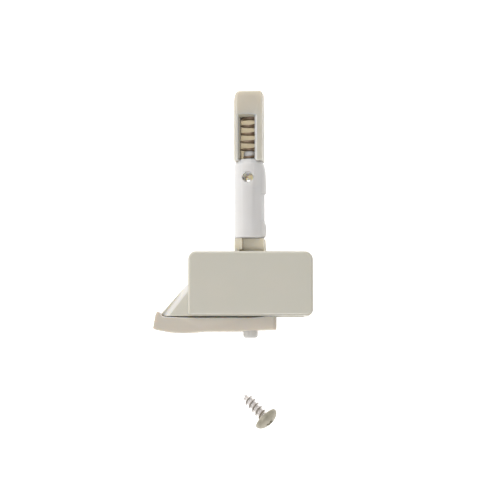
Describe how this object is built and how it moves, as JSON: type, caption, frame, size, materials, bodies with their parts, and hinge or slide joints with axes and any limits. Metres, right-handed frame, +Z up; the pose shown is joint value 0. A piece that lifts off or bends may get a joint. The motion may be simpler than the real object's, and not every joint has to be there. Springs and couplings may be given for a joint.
{
  "type": "stair gate latch",
  "caption": "Lift latch for a stair gate: block handle with a sprung wedge tongue and thumb slide, on a spring-caged insert that fits the gate's tube, with its fixing screw beside it.",
  "frame": {"origin": "middle of the handle's flat back face, on the insert's axis seen from above", "axes": "+X right, across the handle and away from the tongue; +Y along the insert towards its spring end; +Z up, from the handle's back face to its front"},
  "size_m": [0.0602, 0.1282, 0.018],
  "materials": {
    "cream_abs": "satin moulded",
    "pale_cream_acetal": "satin moulded",
    "white_acetal": "smooth moulded",
    "rose_beige_abs": "satin moulded",
    "button_plastic": "smooth moulded",
    "spring_steel": "drawn wire",
    "plated_steel": "zinc plated"
  },
  "bodies": {
    "tube_insert": {"tube_sleeve": "white_acetal", "spring_cage": "cream_abs", "spring_seat": "white_acetal", "main_spring": "spring_steel"},
    "handle": {"front_shell": "cream_abs", "back_cover": "cream_abs", "cover_screws": "plated_steel", "stem": "cream_abs", "stem_screws": "plated_steel", "spring_yoke": "cream_abs", "yoke_pin": "spring_steel", "lock_plate": "plated_steel", "tongue_spring": "spring_steel", "spring_guide_pin": "spring_steel"},
    "slide": {"latch_tongue": "pale_cream_acetal", "thumb_slide": "rose_beige_abs", "slide_screws": "plated_steel", "button_cap": "white_acetal", "button_spring": "spring_steel"},
    "button": {"lock_button": "button_plastic"},
    "loose_screw": {"fixing_screw": "plated_steel"}
  },
  "joints": [
    {"name": "lift_slide", "type": "slide", "parent": "tube_insert", "child": "handle", "axis": [0, -1, 0], "range_m": [0, 0.009], "stiffness_N_per_m": 500, "springref_m": -0.004, "deforming": ["main_spring"]},
    {"name": "tongue_slide", "type": "slide", "parent": "handle", "child": "slide", "axis": [1, 0, 0], "range_m": [0, 0.0095], "stiffness_N_per_m": 250, "springref_m": -0.004, "deforming": ["tongue_spring"]},
    {"name": "button_press", "type": "slide", "parent": "slide", "child": "button", "axis": [0, 1, 0], "range_m": [0, 0.002], "stiffness_N_per_m": 300, "springref_m": -0.002, "deforming": ["button_spring"]},
    {"name": "screw_lift", "type": "slide", "parent": "tube_insert", "child": "loose_screw", "axis": [0, 0, 1], "range_m": [0, 0.03]}
  ]
}
